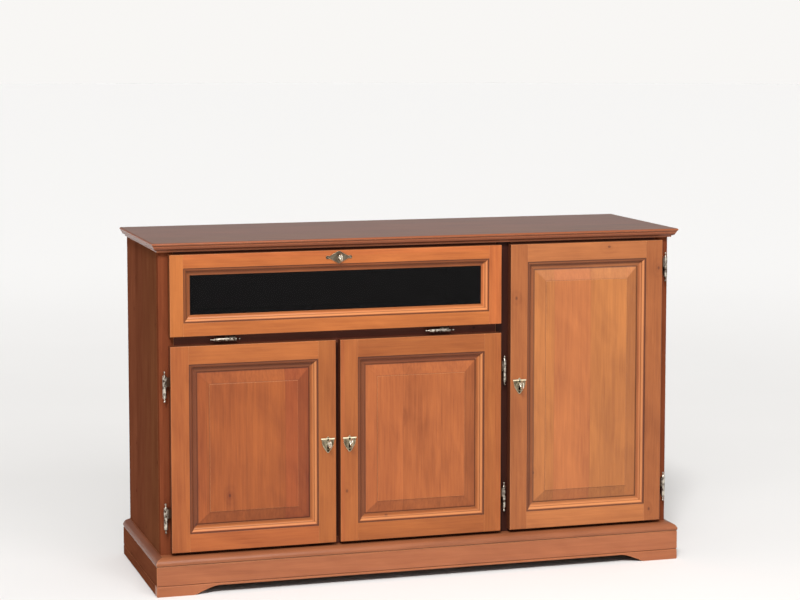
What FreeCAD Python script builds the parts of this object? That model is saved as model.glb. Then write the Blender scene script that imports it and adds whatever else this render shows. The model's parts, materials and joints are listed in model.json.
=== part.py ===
import FreeCAD, Part

import math
import os

# Console television cabinet: a recorder compartment behind a glazed drop-down flap, two panelled
# doors below it and one tall panelled door beside them, on a moulded plinth. Millimetres.
# Row frame: X to the viewer's right, Y from front to back, Z up, origin under the middle of the box.
V = FreeCAD.Vector

# ---- overall sizes -------------------------------------------------------------------------------
TOP_WIDTH = 1280.0
HEIGHT = 805.0
BODY_HALF = 622.0        # half the width over the side panels
PANEL = 22.0             # side panels, partition, posts and door frames
KEY_REACH = 29.0         # key bows stand this far in front of the door faces
BACK = 421.0             # back edge of the sides and top, behind the door faces
DOOR_FACE = (KEY_REACH - BACK) / 2.0   # row Y of the door faces, so that the box is centred on Y

# Distances behind the door faces; row Y is DOOR_FACE plus the distance.
FRAME_FRONT = 23.5
FRAME_BACK = 45.5
TOP_FRONT = -2.0
PLINTH_FRONT = -17.0
BOARD_OUT = 17.0         # the plinth boards stand out from the sides, and the cap a little more
CAP_OUT = 18.0
BACK_PANEL = 4.0
BACK_INSET = 2.0

# ---- heights ------------------------------------------------------------------------------------
TOP_UNDER = 784.0
PLINTH_TOP = 88.0
PLINTH_BOARD_TOP = 68.5
PLINTH_BOARD_BOTTOM = 24.6
FLOOR_TOP = 104.0        # upper face of the bottom panel and of the bottom rails
RAIL_BOTTOM = 62.0       # lower edge of the bottom rails and middle post
MID_RAIL_TOP = 600.0
MID_RAIL_BOTTOM = 562.0
TOP_RAIL_BOTTOM = 774.0
SHELF = 22.0
THIN_SHELF = 18.0

# ---- front layout --------------------------------------------------------------------------------
LEFT_DOOR = (-600.0, -213.0, 95.5, 570.0)      # x0, x1, z0, z1
CENTRE_DOOR = (-202.5, 191.0, 95.5, 570.0)
TALL_DOOR = (214.0, 600.0, 95.5, 778.0)
FLAP = (-600.0, 191.0, 591.5, 778.0)
CORNER_POST = 34.0
MIDDLE_POST = (184.0, 222.0)
MULLION = (-220.0, -196.0)
PARTITION = (192.0, 214.0)

# ---- door frame section: u runs inwards from the flat, d runs back from the face ------------------
DOOR_THICK = 22.0
DOOR_FLAT = 42.0
FLAP_FLAT = 31.0
MOULD = 18.5
FLAP_MOULD = 17.0
GROOVE_FRONT = 12.0
GROOVE_BACK = 17.2
GROOVE_DEEP = 7.0
REBATE_FRONT = 11.5      # the flap's rebate holds the glass and its beads
REBATE_WIDE = 7.5
EASE = 1.3               # rounding of the front outer edges
PANEL_SIDE = [(MOULD, GROOVE_FRONT), (MOULD - GROOVE_DEEP, GROOVE_FRONT),
              (MOULD - GROOVE_DEEP, GROOVE_BACK), (MOULD, GROOVE_BACK),
              (MOULD, DOOR_THICK), (0.0, DOOR_THICK)]
GLASS_SIDE = [(FLAP_MOULD, REBATE_FRONT), (FLAP_MOULD - REBATE_WIDE, REBATE_FRONT),
              (FLAP_MOULD - REBATE_WIDE, DOOR_THICK), (0.0, DOOR_THICK)]
# Sticking curve as (u, d) points; four numbers are an arc through the first pair to the second.
STICKING = [(0.0, 0.0), (0.0, 1.6), (0.8, 1.6), (6.0, 2.95, 9.0, 7.4), (9.0, 8.6),
            (13.4, 10.4, 18.5, 10.6)]

# ---- raised panel ----------------------------------------------------------------------------------
TONGUE_DEEP = 6.5
PANEL_GAP = 0.1
PANEL_CLEAR = 0.3        # from the moulding to the foot of the bevel
BEVEL = 29.5
FIELD_DEPTH = 3.4        # front of the raised field behind the door face
BEVEL_TOP = 4.6          # where the bevel meets the field's small step
BEVEL_FOOT = 12.1

# ---- glass -----------------------------------------------------------------------------------------
GLASS_FRONT = 11.6
GLASS_THICK = 4.0
GLASS_CLEAR = 0.5
BEAD_BACK = 21.4
BEAD_CLEAR = 0.1
BEAD_ROUND = 1.5

# ---- hinges ----------------------------------------------------------------------------------------
BARREL_R = 4.25
PIN_R = 2.5
PIN_FIT = 0.06
KNUCKLE = 21.5           # height of each of the two knuckles
KNUCKLE_GAP = 0.3
PIN_SHORT = 3.0          # the pin stops this far inside the upper knuckle
GROOVE_LONG = 1.2        # finial: groove, collar, cone, stem and ball
COLLAR_LONG = 2.0
CONE_LONG = 4.2
FINIAL_BALL_R = 2.3
FINIAL = 14.0
LEAF = 2.0
LEAF_DEEP = 32.0         # from the axis into the wood
LEAF_FIT = 0.05
DOOR_AXIS = 10.0         # axis behind the door faces
DOOR_AXIS_X = 612.0
CENTRE_AXIS_X = 202.5
FLAP_AXIS = 8.0
FLAP_AXIS_Z = 581.3
LOWER_HINGES = (175.0, 478.0)
TALL_HINGES = (175.0, 712.0)
FLAP_HINGES = (-471.0, 41.0)

# ---- locks and keys --------------------------------------------------------------------------------
CASE_THICK = 12.0
CASE_WALL = 1.5
CASE_WIDE = 40.0
CASE_TALL = 46.0
KEY_R = 2.5
KEY_FIT = 0.08
BIT_REACH = 7.0
BIT_THICK = 1.8
BIT_FRONT = 24.2
BIT_BACK = 27.4
BOLT_THROW = 8.0
BOLT_THICK = 3.4
BOLT_TALL = 16.0
BOLT_FRONT = 28.2
BOLT_FIT = 0.3
SLOT_WIDE = 2.8
LEFT_KEY = (-233.0, 331.0)
CENTRE_KEY = (-181.0, 331.0)
TALL_KEY = (236.4, 446.0)
FLAP_KEY = (-205.5, 762.0)
LEFT_CASE_END = -222.0
CENTRE_CASE_END = -194.0
TALL_CASE_END = 224.0
FLAP_CASE_TOP = 771.0
BOW_R = 9.0
BOW_WIRE = 1.6
KEY_COLLAR_R = 3.5
KEY_COLLAR = 1.6
BOLT_BACK = 0.5          # a drawn bolt's mouth end behind the mouth of its case
SHIELD_THICK = 1.6
PLATE_NAIL_R = 1.2
NAIL_FIT = 0.1
NAIL_SUNK = 0.5
NAIL_LONG = 7.6
PLATE_KEY_FIT = 0.9

# ---- flap stays: pivot B on the flap and pin A on the case lie on one circle about the hinge, so a
# slotted arm from B over A turns by exactly half the flap's angle ----------------------------------
STAY_B = (20.0, 100.0)   # behind and above the flap hinge
STAY_TURN = 25.0         # degrees from B on to A about the hinge
ARM_LONG = 174.0
ARM_HALF = 6.0
ARM_THICK = 2.0
ARM_SLOT = 3.25
STAY_PIN_R = 3.0
STAY_PIN_FIT = 0.06
ARM_X = (-585.0, 181.0)
EAR_PLAY = 0.3           # between an arm and its bracket
EAR_THICK = 2.0
EAR_HALF = 7.0
EAR_PAST = 5.0           # the ear runs this far past its rivet
FOOT_WIDE = 16.0
FOOT_HALF = 14.0
HEAD_MORE = 1.5          # rivet and pin heads over the shaft
HEAD_LONG = 1.3
RIVET_OUT = 1.6
PIN_OUT = 1.8
PIN_SOCKET = 10.0
PIN_COLLAR_MORE = 2.0
PIN_COLLAR_GAP = 0.4

# ---- carcass details -------------------------------------------------------------------------------
CABLE_HOLE = (-205.0, 742.0, 30.0)   # x, z, radius
LEFT_SHELF_Z = 335.0
RIGHT_SHELF_Z = (330.0, 552.0)
SHELF_FRONT = 70.0
SHELF_BACK = 400.0
SHELF_PIN_R = 2.5
FOOT_FLAT = 83.0
ARCH_TOP = 19.2
RUNNER = 38.0
SOLE_CHAMFER = 1.5
V_JOINT = 2.0            # chamfer above the foot boards
REBATE_IN = 10.0         # the side panels' rebate for the back
SCREW_HEAD_R = 3.5
SCREW_R = 1.5
SCREW_SUNK = 2.4         # centre of a domed head inside the back panel
SHANK_GAP = 0.2
SCREW_EDGE = 11.0
SIDE_SCREW = 4.0         # screws into the sides' rebates and beside the joint of the two backs
MIDDLE_SCREW = 5.0
BACK_CLEAR = 0.5
MORTISE_DEEP = 9.0
FLAP_MORTISE = 7.0
MORTISE_FIT = 0.8
STRIKE_THICK = 1.0
STRIKE_MORE = 8.0        # strike plates past the bolt at both ends
STRIKE_FRONT = 3.4
STRIKE_BACK = 4.0
SHELF_PIN_IN = 8.0
SHELF_PIN_LONG = 18.0
SHELF_PIN_EDGE = 35.0


# ---- helpers ---------------------------------------------------------------------------------------
def row_y(depth):
    """Row Y of a distance behind the door faces."""
    return DOOR_FACE + depth


def box(x0, x1, d0, d1, z0, z1):
    """A block between two X values, two depths behind the door faces and two heights."""
    return Part.makeBox(x1 - x0, d1 - d0, z1 - z0, V(x0, row_y(d0), z0))


def rod(x, depth, z, radius, length, axis):
    """A cylinder from a point along an axis."""
    return Part.makeCylinder(radius, length, V(x, row_y(depth), z), axis)


def outline(points, place):
    """A closed wire: two numbers are a straight line to a point, four an arc through the first pair."""
    edges = []
    first = last = place(*points[0])
    for point in points[1:]:
        end = place(*point[-2:])
        if len(point) == 4:
            edges.append(Part.Arc(last, place(*point[:2]), end).toShape())
        else:
            edges.append(Part.makeLine(last, end))
        last = end
    if not last.isEqual(first, 1e-6):
        edges.append(Part.makeLine(last, first))
    return Part.Wire(edges)


def prism(points, place, along):
    """The solid swept by an outline along a vector."""
    solid = Part.Face(outline(points, place)).extrude(along)
    if solid.Volume < 0:
        solid.reverse()
    return solid


def solid_of(faces):
    """A solid from planar faces given as corner lists."""
    shells = [Part.Face(Part.makePolygon(corners + corners[:1])) for corners in faces]
    solid = Part.Solid(Part.Shell(shells))
    if solid.Volume < 0:
        solid.reverse()
    return solid


def fuse(shapes):
    """One solid from touching or overlapping ones."""
    joined = shapes[0].fuse(shapes[1:]).removeSplitter()
    return joined.Solids[0] if len(joined.Solids) == 1 else joined


def cut_all(shape, tools):
    """A shape with every tool taken away."""
    for tool in tools:
        shape = shape.cut(tool)
    return shape.Solids[0] if len(shape.Solids) == 1 else shape


def ease(shape, radius, wanted):
    """Round the edges whose centre passes a test."""
    edges = [edge for edge in shape.Edges if wanted(edge.CenterOfMass)]
    return shape.makeFillet(radius, edges)


def near(a, b):
    """Two lengths that are the same for choosing edges."""
    return abs(a - b) < 0.01


NODES = {}


def keep(name, shapes):
    """Hold a node's solids for writing."""
    NODES[name] = shapes if isinstance(shapes, list) else [shapes]


def write_nodes():
    """One STEP file for each node."""
    os.makedirs("parts", exist_ok=True)
    for name, shapes in NODES.items():
        shape = shapes[0] if len(shapes) == 1 else Part.makeCompound(shapes)
        shape.exportStep("parts/" + name + ".step")


# ---- framed doors ----------------------------------------------------------------------------------
def ring_section(mould, back):
    """The moulded inner edge of a frame member, closed along its back."""
    scale = mould / MOULD
    curve = [tuple(v * scale if i % 2 == 0 else v for i, v in enumerate(point)) for point in STICKING]
    return curve + back


def ring_side(side, inner, section, mould):
    """One mitred side of the moulded ring inside the flat of a frame."""
    x0, x1, z0, z1 = inner
    x2, x3, z2, z3 = x0 + mould, x1 - mould, z0 + mould, z1 - mould
    if side == "left":
        body = prism(section, lambda u, d: V(x0 + u, row_y(d), z0), V(0, 0, z1 - z0))
        corners = [(x0, z0), (x0, z1), (x2, z3), (x2, z2)]
    elif side == "right":
        body = prism(section, lambda u, d: V(x1 - u, row_y(d), z0), V(0, 0, z1 - z0))
        corners = [(x1, z0), (x1, z1), (x3, z3), (x3, z2)]
    elif side == "top":
        body = prism(section, lambda u, d: V(x0, row_y(d), z1 - u), V(x1 - x0, 0, 0))
        corners = [(x0, z1), (x1, z1), (x3, z3), (x2, z3)]
    else:
        body = prism(section, lambda u, d: V(x0, row_y(d), z0 + u), V(x1 - x0, 0, 0))
        corners = [(x0, z0), (x1, z0), (x3, z2), (x2, z2)]
    wedge = prism(corners, lambda x, z: V(x, row_y(-1.0), z), V(0, DOOR_THICK + 2.0, 0))
    return body.common(wedge).Solids[0]


def frame_members(size, flat, mould, section):
    """Two full-height stiles and two rails between them, each with its mitred moulding."""
    x0, x1, z0, z1 = size
    inner = (x0 + flat, x1 - flat, z0 + flat, z1 - flat)
    face = row_y(0.0)

    def outer_stile(p, edge_x):
        return near(p.y, face) and (near(p.x, edge_x) or near(p.z, z0) or near(p.z, z1))

    left = ease(box(x0, inner[0], 0, DOOR_THICK, z0, z1), EASE, lambda p: outer_stile(p, x0))
    right = ease(box(inner[1], x1, 0, DOOR_THICK, z0, z1), EASE, lambda p: outer_stile(p, x1))
    bottom = ease(box(inner[0], inner[1], 0, DOOR_THICK, z0, inner[2]), EASE,
                  lambda p: near(p.y, face) and near(p.z, z0))
    top = ease(box(inner[0], inner[1], 0, DOOR_THICK, inner[3], z1), EASE,
               lambda p: near(p.y, face) and near(p.z, z1))
    flats = {"left": left, "right": right, "bottom": bottom, "top": top}
    return {side: fuse([shape, ring_side(side, inner, section, mould)]) for side, shape in flats.items()}


def rect_corners(x0, x1, z0, z1, depth):
    """Four corners of an upright rectangle at a depth."""
    y = row_y(depth)
    return [V(x0, y, z0), V(x1, y, z0), V(x1, y, z1), V(x0, y, z1)]


def raised_panel(size):
    """The floating panel: a tongue in the grooves, four bevels and a field with a small step."""
    x0, x1, z0, z1 = size
    edge = DOOR_FLAT + MOULD
    seat = edge - TONGUE_DEEP
    inset = edge + PANEL_CLEAR
    field = edge + BEVEL
    tongue = box(x0 + seat, x1 - seat, BEVEL_FOOT, GROOVE_BACK - PANEL_GAP, z0 + seat, z1 - seat)
    raised = box(x0 + field, x1 - field, FIELD_DEPTH, BEVEL_FOOT, z0 + field, z1 - field)
    foot = rect_corners(x0 + inset, x1 - inset, z0 + inset, z1 - inset, BEVEL_FOOT)
    head = rect_corners(x0 + field, x1 - field, z0 + field, z1 - field, BEVEL_TOP)
    sides = [[foot[i], foot[(i + 1) % 4], head[(i + 1) % 4], head[i]] for i in range(4)]
    return fuse([tongue, solid_of([foot, head] + sides), raised])


# ---- pin hinges ------------------------------------------------------------------------------------
def finial(start, axis):
    """The turned end of a knuckle: groove, collar, cone, stem and ball."""
    groove = Part.makeCylinder(BARREL_R * 0.62, GROOVE_LONG, start, axis)
    collar = Part.makeCylinder(BARREL_R, COLLAR_LONG, start + axis * GROOVE_LONG, axis)
    shoulder = start + axis * (GROOVE_LONG + COLLAR_LONG)
    stem_r = BARREL_R * 0.28
    cone = Part.makeCone(BARREL_R * 0.72, stem_r, CONE_LONG, shoulder, axis)
    ball_at = start + axis * (FINIAL - FINIAL_BALL_R)
    stem = Part.makeCylinder(stem_r, (ball_at - shoulder).Length, shoulder, axis)
    return [groove, collar, cone, stem, Part.makeSphere(FINIAL_BALL_R, ball_at)]


def hinge_halves(centre, axis, moving_leaf, fixed_leaf):
    """The two halves of a pin hinge: a moving knuckle that lifts off the pin of a fixed one."""
    pin_top = centre + axis * (KNUCKLE - PIN_SHORT)
    start = centre + axis * (KNUCKLE_GAP / 2.0)
    moving = [Part.makeCylinder(BARREL_R, KNUCKLE, start, axis), moving_leaf]
    moving += finial(start + axis * KNUCKLE, axis)
    bore = Part.makeCylinder(PIN_R + PIN_FIT, KNUCKLE - PIN_SHORT + 1.0, start - axis, axis)
    down = axis * -1.0
    below = centre + down * (KNUCKLE_GAP / 2.0)
    fixed = [Part.makeCylinder(BARREL_R, KNUCKLE, below, down), fixed_leaf]
    fixed += finial(below + down * KNUCKLE, down)
    pin = Part.makeCylinder(PIN_R, (pin_top - below).Length, below, axis)
    return cut_all(fuse(moving), [bore]), fuse(fixed + [pin])


def door_hinge(axis_x, side, centre_z):
    """A door hinge: one leaf runs sideways into the door's edge, the other back into the post."""
    z0 = centre_z + KNUCKLE_GAP / 2.0
    z1 = centre_z - KNUCKLE_GAP / 2.0
    to_door = sorted((axis_x, axis_x + side * LEAF_DEEP))
    moving = box(to_door[0], to_door[1], DOOR_AXIS - LEAF / 2, DOOR_AXIS + LEAF / 2, z0, z0 + KNUCKLE)
    fixed = box(axis_x - LEAF / 2, axis_x + LEAF / 2, DOOR_AXIS, DOOR_AXIS + LEAF_DEEP, z1 - KNUCKLE, z1)
    centre = V(axis_x, row_y(DOOR_AXIS), centre_z)
    return hinge_halves(centre, V(0, 0, 1), moving, fixed)


def leaf_slot(axis_x, side, centre_z):
    """The mortise for a door leaf."""
    z0 = centre_z + KNUCKLE_GAP / 2.0 - LEAF_FIT
    half = LEAF / 2 + LEAF_FIT
    reach = sorted((axis_x, axis_x + side * (LEAF_DEEP + LEAF_FIT)))
    return box(reach[0], reach[1], DOOR_AXIS - half, DOOR_AXIS + half, z0, z0 + KNUCKLE + 2 * LEAF_FIT)


def post_slot(axis_x, centre_z):
    """The mortise for the fixed leaf of a door hinge."""
    z1 = centre_z - KNUCKLE_GAP / 2.0 + LEAF_FIT
    half = LEAF / 2 + LEAF_FIT
    back = DOOR_AXIS + LEAF_DEEP + LEAF_FIT
    return box(axis_x - half, axis_x + half, FRAME_FRONT - 1.0, back, z1 - KNUCKLE - 2 * LEAF_FIT, z1)


def flap_hinge(centre_x):
    """A flap hinge: one leaf runs up into the flap's edge, the other back into the middle rail."""
    x0 = centre_x + KNUCKLE_GAP / 2.0
    x1 = centre_x - KNUCKLE_GAP / 2.0
    depth = (FLAP_AXIS - LEAF / 2, FLAP_AXIS + LEAF / 2)
    moving = box(x0, x0 + KNUCKLE, depth[0], depth[1], FLAP_AXIS_Z, FLAP_AXIS_Z + LEAF_DEEP)
    low, high = FLAP_AXIS_Z - LEAF / 2, FLAP_AXIS_Z + LEAF / 2
    fixed = box(x1 - KNUCKLE, x1, FLAP_AXIS, FLAP_AXIS + LEAF_DEEP, low, high)
    return hinge_halves(V(centre_x, row_y(FLAP_AXIS), FLAP_AXIS_Z), V(1, 0, 0), moving, fixed)


def flap_leaf_slot(centre_x):
    """The mortise for a flap leaf."""
    half = LEAF / 2 + LEAF_FIT
    x0 = centre_x + KNUCKLE_GAP / 2.0 - LEAF_FIT
    top = FLAP_AXIS_Z + LEAF_DEEP + LEAF_FIT
    return box(x0, x0 + KNUCKLE + 2 * LEAF_FIT, FLAP_AXIS - half, FLAP_AXIS + half, FLAP_AXIS_Z, top)


def rail_leaf_slot(centre_x):
    """The mortise for the fixed leaf of a flap hinge."""
    half = LEAF / 2 + LEAF_FIT
    x1 = centre_x - KNUCKLE_GAP / 2.0 + LEAF_FIT
    back = FLAP_AXIS + LEAF_DEEP + LEAF_FIT
    x0 = x1 - KNUCKLE - 2 * LEAF_FIT
    return box(x0, x1, FRAME_FRONT - 1.0, back, FLAP_AXIS_Z - half, FLAP_AXIS_Z + half)


# ---- keys, locks and escutcheons -------------------------------------------------------------------
def key_solid(x, z):
    """A key in its lock, bow upright and bit hanging down."""
    bow = Part.makeTorus(BOW_R, BOW_WIRE, V(x, row_y(-KEY_REACH + BOW_R + BOW_WIRE), z), V(1, 0, 0))
    neck = -KEY_REACH + 2 * BOW_R + BOW_WIRE
    shaft = rod(x, neck, z, KEY_R, BIT_BACK - neck, V(0, 1, 0))
    collar = rod(x, neck + 1.0, z, KEY_COLLAR_R, KEY_COLLAR, V(0, 1, 0))
    bit = box(x - BIT_THICK / 2, x + BIT_THICK / 2, BIT_FRONT, BIT_BACK, z - BIT_REACH, z)
    return fuse([shaft, bow, collar, bit])


def keyhole(x, z, d0, d1, fit):
    """The hole that a key goes through: round, with a slot below for its bit."""
    round_part = rod(x, d0, z, KEY_R + fit, d1 - d0, V(0, 1, 0))
    slot = box(x - SLOT_WIDE / 2, x + SLOT_WIDE / 2, d0, d1, z - BIT_REACH - 1.0, z)
    return fuse([round_part, slot])


def side_lock(key, case_end, inward):
    """A door lock on the back of a stile: hollow case and sliding bolt; inward is away from its mouth."""
    x, z = key
    d0 = DOOR_THICK
    d1 = d0 + CASE_THICK
    far = case_end + inward * CASE_WIDE
    xa, xb = sorted((case_end, far))
    low = z - CASE_TALL / 2
    shell = box(xa, xb, d0, d1, low, low + CASE_TALL)
    hollow = box(xa + CASE_WALL, xb - CASE_WALL, d0 + CASE_WALL, d1 - CASE_WALL,
                 low + CASE_WALL, low + CASE_TALL - CASE_WALL)
    mouth_x = sorted((case_end - inward, case_end + inward * 2 * CASE_WALL))
    half = BOLT_TALL / 2 + BOLT_FIT
    mouth = box(mouth_x[0], mouth_x[1], BOLT_FRONT - BOLT_FIT, BOLT_FRONT + BOLT_THICK + BOLT_FIT,
                z - half, z + half)
    case = cut_all(shell, [hollow, mouth, keyhole(x, z, d0 - 1.0, d0 + 2 * CASE_WALL, KEY_FIT)])
    bolt_x = sorted((case_end + inward * BOLT_BACK, far - inward * (CASE_WALL + BOLT_THROW / 2)))
    bolt = box(bolt_x[0], bolt_x[1], BOLT_FRONT, BOLT_FRONT + BOLT_THICK,
               z - BOLT_TALL / 2, z + BOLT_TALL / 2)
    return case, bolt


def flap_lock():
    """The flap's lock, whose bolt rises into the top rail."""
    x, z = FLAP_KEY
    d0 = DOOR_THICK
    d1 = d0 + CASE_THICK
    low = FLAP_CASE_TOP - CASE_WIDE
    x0, x1 = x - CASE_TALL / 2, x + CASE_TALL / 2
    shell = box(x0, x1, d0, d1, low, FLAP_CASE_TOP)
    hollow = box(x0 + CASE_WALL, x1 - CASE_WALL, d0 + CASE_WALL, d1 - CASE_WALL,
                 low + CASE_WALL, FLAP_CASE_TOP - CASE_WALL)
    half = BOLT_TALL / 2 + BOLT_FIT
    mouth = box(x - half, x + half, BOLT_FRONT - BOLT_FIT, BOLT_FRONT + BOLT_THICK + BOLT_FIT,
                FLAP_CASE_TOP - 2 * CASE_WALL, FLAP_CASE_TOP + 1.0)
    case = cut_all(shell, [hollow, mouth, keyhole(x, z, d0 - 1.0, d0 + 2 * CASE_WALL, KEY_FIT)])
    bolt = box(x - BOLT_TALL / 2, x + BOLT_TALL / 2, BOLT_FRONT, BOLT_FRONT + BOLT_THICK,
               low + CASE_WALL + BOLT_THROW / 2, FLAP_CASE_TOP - BOLT_BACK)
    return case, bolt


# Half outlines about the middle of each plate; the shield's middle is SHIELD_DROP below its key.
SHIELD_HALF = [(0.0, 19.1), (4.4, 14.7), (16.4, 14.8), (16.5, 12.0), (14.9, 11.2, 14.2, 9.2),
               (13.2, 0.4, 9.3, -7.6), (6.4, -12.5, 3.0, -16.9), (1.8, -18.6, 0.0, -19.1)]
SHIELD_DROP = 4.0
SHIELD_BAR = 13.0        # height of the raised bar across the ears
SHIELD_BAR_R = 1.1
SHIELD_BAR_HALF = 16.0
SHIELD_PINS = [(0.0, 7.4), (0.0, -18.4)]
LOZENGE_HALF = [(0.0, 13.9), (2.6, 13.5, 4.8, 12.3), (19.6, 4.2), (22.2, 2.9, 25.0, 3.1),
                (29.6, 2.9, 31.0, 0.0)]
LOZENGE_PINS = [(26.2, 0.0), (-26.2, 0.0)]


def mirrored(half, flip):
    """A closed outline from one half: flip gives the mirror image of a point."""
    turn = flip(*half[-1][-2:])
    back = [] if turn == half[-1][-2:] else [turn]
    for i in range(len(half) - 1, 0, -1):
        end = flip(*half[i - 1][-2:])
        middle = flip(*half[i][:2]) if len(half[i]) == 4 else ()
        back.append(tuple(middle) + tuple(end))
    return half + back


def plate_blank(points, x, z):
    """A flat plate on the face of the wood from its outline around a key at x and z."""
    return prism(points, lambda u, w: V(x + u, row_y(-SHIELD_THICK), z + w), V(0, SHIELD_THICK, 0))


def plate(body, x, z, pins):
    """A keyhole plate pierced for its key and two pins, and the pins."""
    across = V(0, 1, 0)
    hole_r = PLATE_NAIL_R + NAIL_FIT
    holes = [rod(x + u, -DOOR_THICK, z + w, hole_r, 2 * DOOR_THICK, across) for u, w in pins]
    slot = keyhole(x, z, -SHIELD_THICK - 1.0, 1.0, PLATE_KEY_FIT)
    start = NAIL_SUNK - SHIELD_THICK
    nails = [rod(x + u, start, z + w, PLATE_NAIL_R, NAIL_LONG, across) for u, w in pins]
    return [cut_all(body, holes + [slot])] + nails


def shield(x, z):
    """The shield-shaped plate of a door, with a round bar across its ears."""
    half = [tuple(v - SHIELD_DROP if i % 2 else v for i, v in enumerate(p)) for p in SHIELD_HALF]
    body = plate_blank(mirrored(half, lambda u, w: (-u, w)), x, z)
    bar = rod(x - SHIELD_BAR_HALF, -SHIELD_THICK, z + SHIELD_BAR - SHIELD_DROP, SHIELD_BAR_R,
              2 * SHIELD_BAR_HALF, V(1, 0, 0))
    return plate(fuse([body, bar]), x, z, SHIELD_PINS)


def lozenge(x, z):
    """The flap's plate, longer than it is high."""
    right_side = mirrored(LOZENGE_HALF, lambda u, w: (u, -w))
    return plate(plate_blank(mirrored(right_side, lambda u, w: (-u, w)), x, z), x, z, LOZENGE_PINS)


def nail_holes(x, z, pins):
    """Holes in the wood for a plate's pins."""
    radius = PLATE_NAIL_R + NAIL_FIT / 2
    return [rod(x + u, -1.0, z + w, radius, NAIL_LONG + 0.5, V(0, 1, 0)) for u, w in pins]


# ---- doors -----------------------------------------------------------------------------------------
def make_door(name, size, axis_x, side, hinge_zs, key, case_end):
    """A panelled door; side is the direction from its hinges to its lock."""
    members = frame_members(size, DOOR_FLAT, MOULD, ring_section(MOULD, PANEL_SIDE))
    hinge_stile, lock_stile = ("left", "right") if side > 0 else ("right", "left")
    slots = [leaf_slot(axis_x, side, z) for z in hinge_zs]
    members[hinge_stile] = cut_all(members[hinge_stile], slots)
    holes = [keyhole(key[0], key[1], -1.0, DOOR_THICK + 1.0, 1.0)]
    holes += nail_holes(key[0], key[1], SHIELD_PINS)
    members[lock_stile] = cut_all(members[lock_stile], holes)
    hinges = [door_hinge(axis_x, side, z) for z in hinge_zs]
    case, bolt = side_lock(key, case_end, -side)
    keep(name + "_stiles", [members["left"], members["right"]])
    keep(name + "_rails", [members["bottom"], members["top"]])
    keep(name + "_panel", raised_panel(size))
    keep(name + "_hinge_leaves", [pair[0] for pair in hinges])
    keep(name + "_lock_case", case)
    keep(name + "_lock_bolt", bolt)
    keep(name + "_escutcheon", shield(*key))
    keep(name + "_key", key_solid(*key))
    return [pair[1] for pair in hinges]


def glazing_beads(size):
    """Four mitred strips that hold the glass in its rebate."""
    x0, x1, z0, z1 = size
    seat = FLAP_FLAT + FLAP_MOULD - REBATE_WIDE
    inner = (x0 + seat, x1 - seat, z0 + seat, z1 - seat)
    front = GLASS_FRONT + GLASS_THICK
    chamfer = REBATE_WIDE - BEAD_ROUND
    section = [(BEAD_CLEAR, front), (chamfer, front), (REBATE_WIDE, front + BEAD_ROUND),
               (REBATE_WIDE, BEAD_BACK - BEAD_ROUND), (chamfer, BEAD_BACK), (BEAD_CLEAR, BEAD_BACK)]
    return [ring_side(side, inner, section, REBATE_WIDE) for side in ("left", "right", "top", "bottom")]


def stay_arm(x):
    """A slotted arm from the flap's bracket over the pin on the case, closed position."""
    hinge = V(0, row_y(FLAP_AXIS), FLAP_AXIS_Z)
    pivot = hinge + V(x, STAY_B[0], STAY_B[1])
    turned = FreeCAD.Rotation(V(1, 0, 0), -STAY_TURN).multVec(V(0, STAY_B[0], STAY_B[1]))
    pin = hinge + V(x, turned.y, turned.z)
    first = (pin - pivot).Length
    along = (pin - pivot).normalize()
    across = V(1, 0, 0).cross(along)
    thick = V(ARM_THICK, 0, 0)
    origin = pivot - thick * 0.5

    def bar(start, end, half):
        points = [(start, half), (end, half), (end + half, 0.0, end, -half), (start, -half),
                  (start - half, 0.0, start, half)]
        return prism(points, lambda a, b: origin + along * a + across * b, thick)

    arm = bar(0.0, ARM_LONG, ARM_HALF)
    slot = bar(first - 1.0, ARM_LONG, ARM_SLOT)
    hole = Part.makeCylinder(STAY_PIN_R + STAY_PIN_FIT, ARM_THICK + 2.0, origin - V(1, 0, 0), V(1, 0, 0))
    return cut_all(arm, [slot, hole]), pivot, pin


def stay_bracket(x, toward, pivot):
    """A plate screwed to the flap's back with an ear and the rivet that carries a stay arm."""
    near_x = x + toward * (ARM_THICK / 2 + EAR_PLAY)
    ear_x = sorted((near_x, near_x + toward * EAR_THICK))
    foot_x = sorted((near_x, near_x + toward * FOOT_WIDE))
    depth = pivot.y - DOOR_FACE
    ear = box(ear_x[0], ear_x[1], DOOR_THICK, depth + EAR_PAST, pivot.z - EAR_HALF, pivot.z + EAR_HALF)
    foot_z = (pivot.z - FOOT_HALF, pivot.z + FOOT_HALF)
    foot = box(foot_x[0], foot_x[1], DOOR_THICK, DOOR_THICK + EAR_THICK, foot_z[0], foot_z[1])
    start = x - toward * (ARM_THICK / 2 + RIVET_OUT)
    origin = V(start, pivot.y, pivot.z)
    axis = V(toward, 0, 0)
    rivet = Part.makeCylinder(STAY_PIN_R, abs(near_x - start) + EAR_THICK / 2, origin, axis)
    head = Part.makeCylinder(STAY_PIN_R + HEAD_MORE, HEAD_LONG, origin, axis)
    return fuse([ear, foot, rivet, head])


def stay_pin(x, wall, pin):
    """The pin on the case that a stay arm slides over, with a head that keeps the arm on."""
    toward = 1.0 if x > wall else -1.0
    end = x + toward * (ARM_THICK / 2 + PIN_OUT)
    start = V(wall - toward * PIN_SOCKET, pin.y, pin.z)
    axis = V(toward, 0, 0)
    shaft = Part.makeCylinder(STAY_PIN_R, abs(end - start.x), start, axis)
    head_at = V(end - toward * HEAD_LONG, pin.y, pin.z)
    head = Part.makeCylinder(STAY_PIN_R + HEAD_MORE, HEAD_LONG, head_at, axis)
    collar_long = abs(x - wall) - ARM_THICK / 2 - PIN_COLLAR_GAP
    collar = Part.makeCylinder(STAY_PIN_R + PIN_COLLAR_MORE, collar_long, V(wall, pin.y, pin.z), axis)
    return fuse([shaft, head, collar]), Part.makeCylinder(STAY_PIN_R, PIN_SOCKET, start, axis)


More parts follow.
